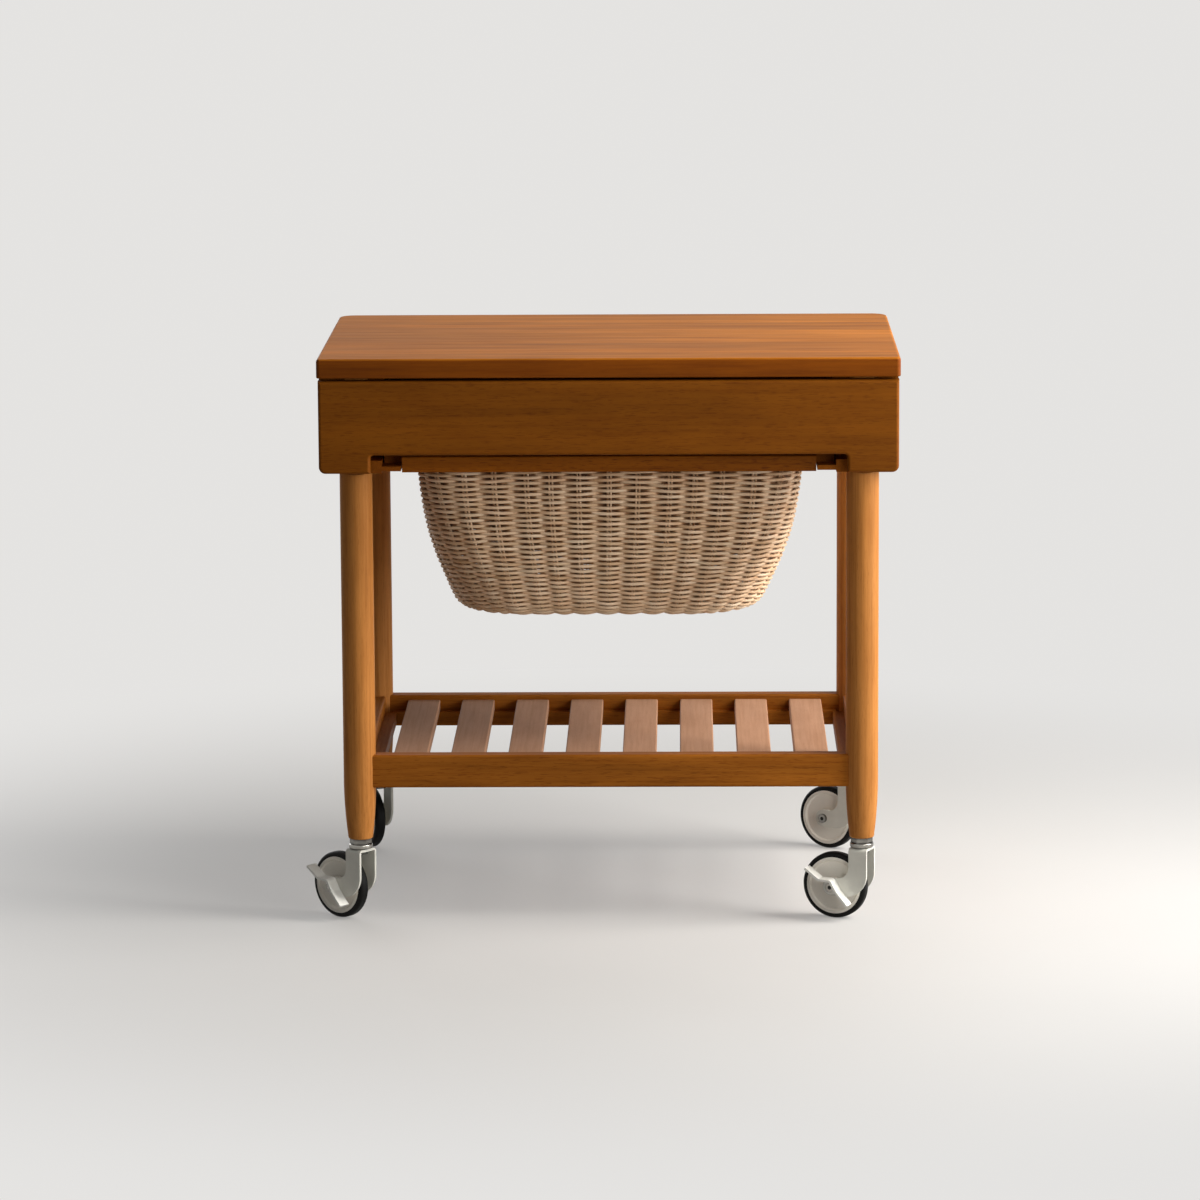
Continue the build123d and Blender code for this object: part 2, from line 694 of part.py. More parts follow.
    if place in braked:
        lug_face = side_view.offset(-lug_inner)
        with BuildPart() as lever:
            with BuildSketch(lug_face):
                with BuildLine():
                    strip_path = [(trail + out, wheel_radius + rise) for out, rise in brake_corners]
                    FilletPolyline(*strip_path, radius=brake_bend_radius)
                trace(line_width=brake_strip_thickness)
            extrude(amount=-brake_strip_width)
            with BuildSketch(lug_face):
                with Locations((trail, wheel_radius)):
                    Circle(brake_lug_radius)
            extrude(amount=-brake_lug_thickness)
            with BuildSketch(lug_face):
                with Locations((trail, wheel_radius)):
                    Circle(axle_diameter / 2 + running_clearance)
            extrude(amount=-brake_lug_thickness, mode=Mode.SUBTRACT)
        save(lever, f"brake_lever_{place}")
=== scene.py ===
import json
import math
import random

import bpy
from mathutils import Matrix, Vector


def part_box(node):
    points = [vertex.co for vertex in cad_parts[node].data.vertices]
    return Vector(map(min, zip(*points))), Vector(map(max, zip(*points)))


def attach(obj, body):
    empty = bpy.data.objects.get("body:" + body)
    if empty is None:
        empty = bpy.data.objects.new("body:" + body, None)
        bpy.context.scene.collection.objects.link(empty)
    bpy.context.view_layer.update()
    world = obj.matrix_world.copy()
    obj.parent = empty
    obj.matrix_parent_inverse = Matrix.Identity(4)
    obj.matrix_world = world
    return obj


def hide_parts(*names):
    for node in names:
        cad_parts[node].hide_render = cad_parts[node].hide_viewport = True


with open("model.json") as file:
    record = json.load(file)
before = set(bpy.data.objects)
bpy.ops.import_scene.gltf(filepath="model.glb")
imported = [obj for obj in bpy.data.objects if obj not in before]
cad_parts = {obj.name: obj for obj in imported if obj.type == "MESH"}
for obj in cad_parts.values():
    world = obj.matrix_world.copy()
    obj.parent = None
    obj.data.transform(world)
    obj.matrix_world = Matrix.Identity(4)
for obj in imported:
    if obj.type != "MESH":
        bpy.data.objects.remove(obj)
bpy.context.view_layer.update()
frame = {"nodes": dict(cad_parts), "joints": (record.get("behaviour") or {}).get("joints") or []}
nodes = frame["nodes"]
scene = bpy.context.scene
print("frame loaded,", len(nodes), "nodes")


# Camera, lamps and floor
cameraSet = {
    "place": (0.07659, -5.6042, 1.26549),   # metres
    "yaw": 0.914,                           # degrees, turned to the left
    "pitch": 9.662,                         # degrees, looking down
    "roll": -0.327,
    "lens": 159.36,
    "sensor": 36.0,
    "clip": 100,
}


def addCamera(look):
    yaw, pitch, roll = (math.radians(look[key]) for key in ("yaw", "pitch", "roll"))
    ahead = Vector((-math.sin(yaw) * math.cos(pitch), math.cos(yaw) * math.cos(pitch), -math.sin(pitch)))
    level = Vector((math.cos(yaw), math.sin(yaw), 0))
    upright = level.cross(ahead)
    right = level * math.cos(roll) + upright * math.sin(roll)
    up = upright * math.cos(roll) - level * math.sin(roll)
    camera = bpy.data.cameras.new("camera")
    camera.lens = look["lens"]
    camera.sensor_width = look["sensor"]
    camera.clip_end = look["clip"]
    holder = bpy.data.objects.new("camera", camera)
    turned = Matrix((right, up, -ahead)).transposed().to_4x4()
    holder.matrix_world = Matrix.Translation(look["place"]) @ turned
    scene.collection.objects.link(holder)
    scene.camera = holder


lampSet = {
    "key": {"place": (1.5, -0.38, 1.4), "size": (1.0, 1.3), "watts": 46, "tint": (1.0, 0.96, 0.90)},
    "low": {"place": (1.4, -0.32, 0.45), "size": (0.9, 0.6), "watts": 11, "tint": (0.96, 0.98, 1.0)},
    "side": {"place": (1.35, -2.1, 1.0), "size": (1.2, 1.2), "watts": 16, "tint": (1.0, 0.98, 0.95)},
    "back": {"place": (-1.7, 2.2, 1.0), "size": (1.8, 0.6), "watts": 20, "tint": (0.97, 0.98, 1.0)},
}
stageSet = {
    "aim": (0, 0, 0.36),                # where every lamp points
    "world": 0.07,
    "backdrop": (0.78, 0.77, 0.755, 1),
    "floorSize": 60,
    "floor": (0.29, 0.28, 0.27, 1),     # what the floor gives back to the cart
    "seen": (0.70, 0.687, 0.67, 1),     # the floor as the camera sees it
    "cloud": (3.0, 0.97),               # size and darkest tone of its faint clouds
    "rough": 0.6,
    "evenNear": 0.3,                    # share of the backdrop's own tone beside the cart
    "fadeFrom": 0.4,                    # metres from the cart, where that share starts to grow
    "fadeTo": 1.3,                      # and where it is the whole
}


def addLamp(name, look):
    lamp = bpy.data.lights.new(name, "AREA")
    lamp.energy = look["watts"]
    lamp.shape = "RECTANGLE"
    lamp.size, lamp.size_y = look["size"]
    lamp.color = look["tint"]
    holder = bpy.data.objects.new(name, lamp)
    holder.visible_camera = False
    holder.location = look["place"]
    holder.rotation_euler = (Vector(stageSet["aim"]) - holder.location).to_track_quat("-Z", "Y").to_euler()
    scene.collection.objects.link(holder)


def addWorld(look):
    world = bpy.data.worlds.new("room")
    scene.world = world
    world.use_nodes = True
    tree = world.node_tree
    light = tree.nodes["Background"]
    feedAll(tree, light, Color=(1, 1, 1, 1), Strength=look["world"])
    pale = addNode(tree, "ShaderNodeBackground", Color=look["backdrop"])
    choice = addChoice(tree, seenShare(tree), light.outputs[0], pale.outputs[0])
    feedAll(tree, tree.nodes["World Output"], Surface=choice)


def addFloor(look):
    bpy.ops.mesh.primitive_plane_add(size=look["floorSize"])
    floor = bpy.context.object
    floor.name = "floor"
    material, tree, shader = newMaterial("floorPaint")
    place = objectPlace(tree)
    seen = seenShare(tree)
    tone = addMix(tree, seen, look["floor"], look["seen"])
    size, darkest = look["cloud"]
    clouds = addNoise(tree, place, Scale=size, Detail=3.0)
    cloud = addRamp(tree, clouds, (0.3, grey(darkest)), (0.7, grey(1.0)))
    feedAll(tree, shader, Base_Color=addMix(tree, 1.0, tone, cloud, "MULTIPLY"), Roughness=look["rough"])

    # Far out the floor takes the backdrop's own tone, so that no horizon shows
    fade = addNode(tree, "ShaderNodeMapRange", Value=addVector(tree, "LENGTH", place),
                   From_Min=look["fadeFrom"], From_Max=look["fadeTo"], To_Min=look["evenNear"])
    fade.interpolation_type = "SMOOTHSTEP"
    even = addNode(tree, "ShaderNodeEmission", Color=look["backdrop"])
    share = addMath(tree, "MULTIPLY", fade.outputs[0], seen)
    choice = addChoice(tree, share, shader.outputs[0], even.outputs[0])
    feedAll(tree, tree.nodes["Material Output"], Surface=choice)
    floor.data.materials.append(material)


# Small helpers for materials
def newMaterial(name):
    material = bpy.data.materials.new(name)
    material.use_nodes = True
    tree = material.node_tree
    return material, tree, tree.nodes["Principled BSDF"]


def feed(tree, socket, value):
    # Links another node's output to a socket, or sets a plain value there
    if isinstance(value, bpy.types.NodeSocket):
        tree.links.new(value, socket)
    else:
        socket.default_value = value


def feedAll(tree, node, **values):
    for key, value in values.items():
        feed(tree, node.inputs[key.replace("_", " ")], value)


def addNode(tree, kind, **values):
    made = tree.nodes.new(kind)
    feedAll(tree, made, **values)
    return made


def addMath(tree, operation, *values):
    made = tree.nodes.new("ShaderNodeMath")
    made.operation = operation
    for socket, value in zip(made.inputs, values):
        feed(tree, socket, value)
    return made.outputs[0]


def addVector(tree, operation, *values):
    made = tree.nodes.new("ShaderNodeVectorMath")
    made.operation = operation
    sockets = (made.inputs[0], made.inputs["Scale"]) if operation == "SCALE" else made.inputs
    for socket, value in zip(sockets, values):
        feed(tree, socket, value)
    return made.outputs["Value" if operation in ("LENGTH", "DOT_PRODUCT") else "Vector"]


def addMix(tree, share, first, second, blend="MIX"):
    made = tree.nodes.new("ShaderNodeMix")
    made.data_type = "RGBA"
    made.blend_type = blend
    for number, value in ((0, share), (6, first), (7, second)):     # its colour sockets are 6 and 7
        feed(tree, made.inputs[number], value)
    return made.outputs[2]


def addChoice(tree, share, first, second):
    made = tree.nodes.new("ShaderNodeMixShader")
    for socket, source in zip(made.inputs, (share, first, second)):
        tree.links.new(source, socket)
    return made.outputs[0]


def addRamp(tree, source, *stops):
    made = tree.nodes.new("ShaderNodeValToRGB")
    ramp = made.color_ramp
    while len(ramp.elements) < len(stops):
        ramp.elements.new(0.5)
    for element, (place, tint) in zip(ramp.elements, stops):
        element.position = place
        element.color = tint
    tree.links.new(source, made.inputs[0])
    return made.outputs[0]


def addNoise(tree, vector, **values):
    return addNode(tree, "ShaderNodeTexNoise", Vector=vector, **values).outputs["Fac"]


def addBump(tree, shader, height, strength, distance):
    bump = addNode(tree, "ShaderNodeBump", Strength=strength, Distance=distance, Height=height)
    feedAll(tree, shader, Normal=bump.outputs[0])


def seenShare(tree):
    # 1 where the camera looks straight at it, in a mirror or through glass, else 0
    path = tree.nodes.new("ShaderNodeLightPath")
    both = addMath(tree, "MAXIMUM", path.outputs["Is Camera Ray"], path.outputs["Is Glossy Ray"])
    return addMath(tree, "MAXIMUM", both, path.outputs["Is Transmission Ray"])


def objectPlace(tree):
    return tree.nodes.new("ShaderNodeTexCoord").outputs["Object"]


def surfaceNormal(tree):
    return tree.nodes.new("ShaderNodeNewGeometry").outputs["Normal"]


def partsOf(tree, vector):
    return addNode(tree, "ShaderNodeSeparateXYZ", Vector=vector).outputs


def stretched(tree, vector, scale, shift):
    return addNode(tree, "ShaderNodeMapping", Vector=vector, Scale=scale, Location=shift).outputs[0]


def paint(red, green, blue):
    return tuple((part / 255) ** 2.2 for part in (red, green, blue)) + (1,)


def grey(level):
    return (level, level, level, 1)


def shaded(tint, share):
    return tuple(part * share for part in tint[:3]) + (1,)


# Lacquered wood: a soft long figure, fine streaks, short dark pores and patches, and on glued
# boards staves of their own tone. What the cart's woods share is here: for each kind of mark how
# often it changes along and across the grain, per metre, and what it does to the wood's tone
grain = {
    "figure": {"scale": (2.4, 34, 34), "noise": {"Detail": 5.0, "Distortion": 0.4}},
    "streaks": {"scale": (9, 300, 300), "noise": {"Detail": 3.0, "Roughness": 0.6},
                "tones": ((0.32, (0.80, 0.74, 0.66, 1)), (0.55, grey(1)), (0.72, (1.05, 1.05, 1.04, 1)))},
    "pores": {"scale": (90, 1300, 1300), "noise": {"Detail": 1.0},
              "tones": ((0.34, (0.50, 0.40, 0.30, 1)), (0.41, grey(1)))},
    "patches": {"scale": (14, 40, 40), "noise": {"Detail": 2.0},
                "tones": ((0.3, (0.93, 0.90, 0.86, 1)), (0.7, (1.05, 1.05, 1.05, 1)))},
    "figureStops": (0.30, 0.50, 0.70),  # where the figure is darkest, plain and lightest
    "staveTones": ((0, (0.93, 0.90, 0.87, 1)), (1, (1.06, 1.06, 1.05, 1))),
    "staveStart": 0.31,                 # shifts the glued joints sideways, in staves
    "staveApart": 5.0,                  # how far one stave's figure may lie from the next one's, in metres
    "edgeShadeStops": (0.35, 0.75),          # rise of the normal: below them all painted edge shade, above them all plain face
    "streakRough": 0.08,                # roughness that the darkest streaks add
    "roughStops": (0.3, 0.7),
    "relief": (0.6, 0.4),               # shares of the pores and of the streaks
    "bump": (0.15, 0.0003),             # strength, and depth in metres
}
grainOrder = {"X": (0, 1, 2), "Y": (1, 0, 2), "Z": (2, 0, 1)}      # along the grain first


def woodMaterial(name, look, axis, shift=(0, 0, 0)):
    material, tree, shader = newMaterial(name)
    split = partsOf(tree, objectPlace(tree))
    along, across, up = (split[index] for index in grainOrder[axis])
    place = addNode(tree, "ShaderNodeCombineXYZ", X=along, Y=across, Z=up).outputs[0]
    if look.get("stave"):
        row = addMath(tree, "MULTIPLY_ADD", split[1], 1 / look["stave"], grain["staveStart"])
        toss = tree.nodes.new("ShaderNodeTexWhiteNoise")
        toss.noise_dimensions = "1D"
        feedAll(tree, toss, W=addMath(tree, "FLOOR", row))
        apart = addVector(tree, "SCALE", toss.outputs["Color"], grain["staveApart"])
        place = addVector(tree, "ADD", place, apart)

    marks = {}
    for kind in ("figure", "streaks", "pores", "patches"):
        fibres = stretched(tree, place, grain[kind]["scale"], shift)
        marks[kind] = addNoise(tree, fibres, Scale=1.0, **grain[kind]["noise"])
    tints = [shaded(look["tint"], 1 + part * look["figure"]) for part in (-1, 0, 1)]
    tone = addRamp(tree, marks["figure"], *zip(grain["figureStops"], tints))
    for kind in ("streaks", "pores", "patches"):
        tone = addMix(tree, look[kind], tone, addRamp(tree, marks[kind], *grain[kind]["tones"]), "MULTIPLY")
    if look.get("stave"):
        tone = addMix(tree, 1.0, tone, addRamp(tree, toss.outputs["Value"], *grain["staveTones"]), "MULTIPLY")
    if look.get("edgeShade"):        # painted shade: the top's sides are darker than its face
        rise = partsOf(tree, surfaceNormal(tree))[2]
        face = addRamp(tree, rise, *zip(grain["edgeShadeStops"], (grey(0), grey(1))))
        tone = addMix(tree, face, addMix(tree, 1.0, tone, look["edgeShade"], "MULTIPLY"), tone)

    roughs = (grey(look["rough"] + grain["streakRough"]), grey(look["rough"]))
    gloss = addRamp(tree, marks["streaks"], *zip(grain["roughStops"], roughs))
    feedAll(tree, shader, Base_Color=tone, Roughness=gloss, Specular_IOR_Level=look["shine"])
    poreShare, streakShare = grain["relief"]
    relief = addMath(tree, "MULTIPLY", marks["streaks"], streakShare)
    addBump(tree, shader, addMath(tree, "MULTIPLY_ADD", marks["pores"], poreShare, relief), *grain["bump"])
    return material


# tint: the lacquered colour. figure, streaks, pores and patches: how strong each one is.
# stave: the width of a glued stave. The edge tint: painted shade on the top's sides. shine: the lacquer's
# mirror
topWood = {"tint": paint(183, 112, 34), "figure": 0.28, "streaks": 1.0, "pores": 0.15, "patches": 1.0,
           "stave": 0.066, "edgeShade": (0.50, 0.38, 0.12, 1), "rough": 0.48, "shine": 0.10}
frontWood = {"tint": paint(129, 75, 20), "figure": 0.15, "streaks": 0.6, "pores": 0.5, "patches": 1.0,
             "rough": 0.54, "shine": 0.08}
railWood = {"tint": paint(150, 90, 32), "figure": 0.30, "streaks": 1.0, "pores": 0.5, "patches": 1.0,
            "rough": 0.50, "shine": 0.07}
legWood = {"tint": paint(186, 123, 64), "figure": 0.14, "streaks": 0.9, "pores": 0.25, "patches": 0.9,
           "rough": 0.48, "shine": 0.08}
slatWood = {"tint": paint(184, 141, 113), "figure": 0.07, "streaks": 0.45, "pores": 0.15, "patches": 0.9,
            "rough": 0.58, "shine": 0.06}
trayWood = {"tint": paint(142, 80, 18), "figure": 0.18, "streaks": 0.9, "pores": 0.8, "patches": 0.9,
            "rough": 0.52, "shine": 0.10}
drawerWood = {"tint": paint(196, 156, 104), "figure": 0.08, "streaks": 0.5, "pores": 0.2, "patches": 0.8,
              "rough": 0.55, "shine": 0.2}
slatTones = (0.82, 0.80, 0.88, 0.90, 1.0, 0.97, 1.04, 0.97)     # from left to right

# Each material's name and look, the axis its grain runs along, its place in the log, and its nodes
boards = (
    ("topWood", topWood, "X", (0, 0, 0), ("top_panel",)),
    ("frontWood", frontWood, "X", (0, 0, 0), ("drawer_front",)),
    ("backWood", frontWood, "X", (0.4, 0.1, 0.3), ("case_back",)),
    ("sideWood", frontWood, "Y", (0.2, 0.5, 0.1), ("case_side_left", "case_side_right")),
    ("longRailWood", railWood, "X", (0, 0, 0), ("shelf_rail_front", "shelf_rail_rear", "slat_cleats")),
    ("shortRailWood", railWood, "Y", (0.9, 0.3, 0.6), ("shelf_rail_left", "shelf_rail_right", "side_cleats")),
    ("trayWoodAcross", trayWood, "X", (0, 0, 0), ("tray_rail_front", "tray_rail_back")),
    ("trayWoodAlong", trayWood, "Y", (0, 0, 0),
     ("tray_side_left", "tray_side_right", "basket_runner_left", "basket_runner_right",
      "drawer_runner_left", "drawer_runner_right", "drawer_kickers")),
    ("drawerWoodAcross", drawerWood, "X", (0, 0, 0), ("drawer_back", "drawer_bottom")),
    ("drawerWoodAlong", drawerWood, "Y", (0, 0, 0), ("drawer_side_left", "drawer_side_right")),
)
legNames = ("leg_front_left", "leg_front_right", "leg_rear_left", "leg_rear_right")
legShift = (0.37, 0.2, 0.5)         # in the log, the first times the leg's number
slatShift = (0.53, 0.4, 0.1)


def setMaterial(material, *names):
    for name in names:
        held = nodes[name].data.materials
        held.clear()
        held.append(material)


def dressWood():
    for name, look, axis, shift, worn in boards:
        setMaterial(woodMaterial(name, look, axis, shift), *worn)
    for number, name in enumerate(legNames):
        shift = (legShift[0] * number, *legShift[1:])
        setMaterial(woodMaterial(f"legWood{number}", legWood, "Z", shift), name)
    for number, tone in enumerate(slatTones, 1):
        look = {**slatWood, "tint": shaded(slatWood["tint"], tone)}
        shift = (slatShift[0] * number, *slatShift[1:])
        setMaterial(woodMaterial(f"slatWood{number}", look, "Y", shift), f"shelf_slat_{number}")


# Casters: painted sheet, plated steel, grey plastic and black rubber
speckle = {
    "cloud": {"Detail": 4.0, "Roughness": 0.6},
    "fine": {"Detail": 2.0},
    "toneStops": (0.35, 0.65),
    "roughStops": (0.3, 0.7),
    "depth": 0.0002,                # metres
}
# Painted shade and reflection on the stems: dark lines where cup, nut and leg meet, and a dimmer nut
stemShade = {
    "below": 0.0106,                # metres of the stem that show under the leg
    "stops": ((0.0, 0.25), (0.10, 1.0), (0.40, 1.0), (0.47, 0.18),     # shares of them, and tones
              (0.54, 0.60), (0.74, 0.75), (0.90, 0.45), (1.0, 0.20)),
}
# Painted shade of a socket in each head of an axle: how far out it reaches, and its tones
axleSocketShade = {
    "across": 0.005,                # metres from the axle's line
    "stops": ((0.38, 0.06), (0.46, 1.0), (0.86, 1.0), (0.94, 0.45)),    # shares of them, and tones
}


def speckledMaterial(name, look):
    material, tree, shader = newMaterial(name)
    place = objectPlace(tree)
    cloud = addNoise(tree, place, Scale=look["cloud"], **speckle["cloud"])
    fine = addNoise(tree, place, Scale=look["fine"], **speckle["fine"])
    tints = (shaded(look["tint"], look["worn"]), look["tint"])
    tone = addRamp(tree, cloud, *zip(speckle["toneStops"], tints))
    rough = addRamp(tree, cloud, *zip(speckle["roughStops"], map(grey, look["rough"])))
    feedAll(tree, shader, Base_Color=tone, Roughness=rough, Metallic=look["metal"])
    feedAll(tree, shader, Specular_IOR_Level=look["shine"])
    addBump(tree, shader, fine, look["bump"], speckle["depth"])
    return material


def darken(material, source, stops):
    tree = material.node_tree
    base = tree.nodes["Principled BSDF"].inputs["Base Color"]
    tones = addRamp(tree, source, *[(place, grey(level)) for place, level in stops])
    tree.links.new(addMix(tree, 1.0, base.links[0].from_socket, tones, "MULTIPLY"), base)


def addStemShade(material, foot, look):
    # Painted shade and reflection: dark lines round a stem where its cup, its nut and the leg meet, and a
    # dimmer nut
    tree = material.node_tree
    z = partsOf(tree, objectPlace(tree))[2]
    rise = addMath(tree, "MULTIPLY_ADD", z, 1 / look["below"], 1 - foot / look["below"])
    darken(material, rise, look["stops"])


def addSocketShade(material, place, way, look):
    # Painted shade: a dark socket painted in both heads of an axle, round the axle's own line
    tree = material.node_tree
    apart = addVector(tree, "SUBTRACT", objectPlace(tree), place)
    reach = addVector(tree, "LENGTH", addVector(tree, "CROSS_PRODUCT", apart, way))
    darken(material, addMath(tree, "MULTIPLY", reach, 1 / look["across"]), look["stops"])


casterLooks = {
    "fork": {"tint": paint(222, 221, 211), "worn": 0.92, "rough": (0.36, 0.46), "metal": 0.0,
             "cloud": 60, "fine": 1400, "bump": 0.12, "shine": 0.5},
    "lever": {"tint": paint(250, 249, 242), "worn": 0.95, "rough": (0.32, 0.42), "metal": 0.0,
              "cloud": 60, "fine": 1400, "bump": 0.10, "shine": 0.5},
    "steel": {"tint": paint(170, 167, 160), "worn": 0.60, "rough": (0.10, 0.24), "metal": 1.0,
              "cloud": 90, "fine": 2200, "bump": 0.08, "shine": 0.5},
    "core": {"tint": paint(247, 242, 231), "worn": 0.95, "rough": (0.42, 0.52), "metal": 0.0,
             "cloud": 40, "fine": 1800, "bump": 0.10, "shine": 0.4},
    "tyre": {"tint": paint(17, 16, 15), "worn": 0.70, "rough": (0.50, 0.62), "metal": 0.0,
             "cloud": 50, "fine": 1600, "bump": 0.20, "shine": 0.15},
}
casterNodes = {"caster_fork_": "fork", "wheel_core_": "core", "wheel_tyre_": "tyre", "brake_lever_": "lever"}


def dressCasters():
    made = {kind: speckledMaterial(kind + "Finish", look) for kind, look in casterLooks.items()}
    for name in nodes:
        for start, kind in casterNodes.items():
            if name.startswith(start):
                setMaterial(made[kind], name)
    for joint in frame["joints"]:
        if joint["name"].endswith("_spin"):
            corner = joint["child"].removeprefix("wheel_")
            # each axle's steel, with the painted shade of a socket in its heads
            shadedAxle = speckledMaterial("axleSteelShade_" + corner, casterLooks["steel"])
            addSocketShade(shadedAxle, joint["pos_m"], joint["axis"], axleSocketShade)
            setMaterial(shadedAxle, "caster_axle_" + corner)
    # The stems' plated steel, with painted shade at their joints and a painted dim reflection on the nut
    stemSteelShade = speckledMaterial("stemSteelShade", casterLooks["steel"])
    addStemShade(stemSteelShade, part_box("leg_front_left")[0].z, stemShade)
    setMaterial(stemSteelShade, *[name for name in nodes if name.startswith("caster_stem_")])


# Wicker basket: rows of split cane woven over pairs of upright stakes. The strands' lines are
# worked out here, and a node tree swings them in and out of the stakes and gives them their body
basket = {
    "seed": 7,
    "stakes": 44,                   # an even number, so that each row closes in step
    "samples": 8,                   # points of a row from one stake to the next
    "unevenStakes": ((0.0016, 9, 1), (0.0012, 17, 4)),     # share of the way round, waves, start
    "firstRow": 0.0052,             # below the rim, along the wall
    "pitchTop": 0.00298,            # between rows, at the top and at the foot
    "pitchFoot": 0.00268,
    "draw": 0.043,                  # how far the foot is drawn in
    "lower": 0.003,                 # how far the woven foot hangs below its tub
    "lean": -0.003,                 # and to the side
    "cornerTop": 0.038,
    "cornerFoot": 0.078,
    "cornerLeast": 0.01,
    "footRound": 0.020,
    "outlineSteps": 400,            # of the wall, and of the foot's arc
    "rimOut": 0.0045,               # from the tub's outer face to the rim's edge
    "skin": 0.0031,                 # from the outer face to the middle of the weave
    "swing": 0.0020,                # how far a row leaves that middle
    "cane": (0.0022, 0.0033),       # depth and height of a row's strand
    "girth": (0.90, 1.08),          # thinnest and thickest strand
    "swell": (0.05, 40, 3),         # how much a strand swells, how often, and its shift row by row
    "waverRise": 10,                # how fast the waver grows from the rim and from the foot
    "wavers": ((0.00060, 2, 6, 0.7), (0.00045, 5, -13, 2.1), (0.00036, 11, 19, 4.4),
               (0.00024, 23, -37, 1.3), (0.00014, 41, 71, 3.6)),   # height, waves round and down, start
    "stake": (0.0020, 0.0030),
    "stakeApart": 0.0033,
    "stakeSteps": 44,
    "stakeFrom": 0.002,             # below the rim
    "stakeShort": 0.001,            # how much shorter a stake is than the wall
    "sunkShade": -0.35,                  # how dark the painted shade makes the stakes between the rows, -1 the most
    "basePitch": 0.0031,
    "baseStick": 0.024,
    "baseSamples": 6,               # points of a base row from one stick to the next
    "baseLeast": 4,                 # and steps of its shortest row
    "stickSteps": 8,
    "borderStrands": 5,
    "borderTwist": 0.026,           # along the rim for one turn
    "borderCore": (0.0026, 0.0018), # how far out and up from their core the strands wind
    "borderDrop": 0.0037,           # from the rim's top to that core
    "borderSteps": 720,
    "border": (0.0034, 0.0034),
    "rowPieces": ("upper", "middle", "lower"),
}


def rimPlace(halfX, halfY, corner, share):
    # A point at some share of the way round a rounded rectangle, from the middle of its right side
    sideX, sideY, arc = 2 * (halfX - corner), 2 * (halfY - corner), math.pi / 2 * corner
    way = share % 1 * 2 * (sideX + sideY + 2 * arc) + sideY / 2
    place, ahead = Vector((halfX, -sideY / 2)), Vector((0, 1))
    for length in (sideY, sideX) * 3:
        if way <= length:
            break
        place, way = place + ahead * length, way - length
        inward = Vector((-ahead.y, ahead.x))
        if way <= arc:
            bend = way / corner
            return place + (ahead * math.sin(bend) + inward * (1 - math.cos(bend))) * corner
        place, way, ahead = place + (ahead + inward) * corner, way - arc, inward
    return place + ahead * way


def rayLeaves(halfX, halfY, corner, aim):
    # Where a ray from the middle leaves a rounded rectangle, and the way out there
    size = min(halfX / max(abs(aim.x), 1e-9), halfY / max(abs(aim.y), 1e-9))
    place = aim * size
    core = Vector((math.copysign(halfX - corner, aim.x), math.copysign(halfY - corner, aim.y)))
    if abs(place.x) > abs(core.x) and abs(place.y) > abs(core.y):
        square, line, rest = aim.dot(aim), -2 * aim.dot(core), core.dot(core) - corner * corner
        place = aim * ((-line + math.sqrt(max(line * line - 4 * square * rest, 0))) / (2 * square))
        return place, (place - core).normalized()
    if abs(place.y) > abs(core.y):
        return place, Vector((0, math.copysign(1, aim.y)))
    return place, Vector((math.copysign(1, aim.x), 0))


class BasketShape:
    # The tub's outer face: a wall drawn in ever faster, and a round foot
    step = 0.0005       # between the points kept of its outline
    firstShare = 0.9    # of the height, a first guess at where the wall ends
    rounds = 30         # that settle it

    def __init__(self, look):
        low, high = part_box("wicker_basket")
        self.look = look
        self.middle = (low + high) / 2
        self.top, self.foot = high.z, low.z - look["lower"]
        self.height = self.top - self.foot
        self.halfX = (high.x - low.x) / 2 - look["rimOut"]
        self.halfY = (high.y - low.y) / 2 - look["rimOut"]
        share = self.firstShare
        for _ in range(self.rounds):    # settles on the place where the foot's arc meets the wall
            steep = 2 * look["draw"] * share / self.height
            share = 1 - look["footRound"] * (1 - steep / math.hypot(1, steep)) / self.height
        line, count = [], look["outlineSteps"]
        for index in range(count):
            part = share * index / count
            line.append((look["draw"] * part ** 2, self.top - self.height * part))
        start = math.atan(steep)
        centre = look["draw"] * share ** 2 + look["footRound"] * math.cos(start)
        for index in range(count + 1):
            turn = start + (math.pi / 2 - start) * index / count
            rise = look["footRound"] * (1 - math.sin(turn))
            line.append((centre - look["footRound"] * math.cos(turn), self.foot + rise))
        self.places = [Vector(line[0])]
        for place in line[1:]:
            while (Vector(place) - self.places[-1]).length > self.step:
                ahead = (Vector(place) - self.places[-1]).normalized()
                self.places.append(self.places[-1] + ahead * self.step)
        self.length = (len(self.places) - 2) * self.step

    def wall(self, way, inset):
        index = min(max(way / self.step, 0), len(self.places) - 2)
        first = self.places[int(index)]
        ahead = (self.places[int(index) + 1] - first).normalized()
        inward = Vector((-ahead.y, ahead.x))
        past = way - int(index) * self.step
        place = first + ahead * past + inward * inset
        return place.x, place.y, inward

    def outline(self, draw, z):
        share = (self.top - z) / self.height
        corner = self.look["cornerTop"] + (self.look["cornerFoot"] - self.look["cornerTop"]) * share
        corner -= draw - self.look["draw"] * share ** 2
        return self.halfX - draw, self.halfY - draw, max(corner, self.look["cornerLeast"])

    def point(self, aim, way, inset):
        # A stake's line keeps its share of the tub's width and depth as the tub narrows
        draw, z, inward = self.wall(way, inset)
        halfX, halfY, corner = self.outline(draw, z)
        aimed = Vector((aim.x * halfX / self.halfX, aim.y * halfY / self.halfY))
        place, across = rayLeaves(halfX, halfY, corner, aimed)
        out = Vector((across.x * inward.x, across.y * inward.x, -inward.y))
        return self.leaned(place.x, place.y, z), out

    def leaned(self, x, y, z):
        side = self.look["lean"] * ((self.top - z) / self.height) ** 2
        return Vector((self.middle.x + x + side, self.middle.y + y, z))


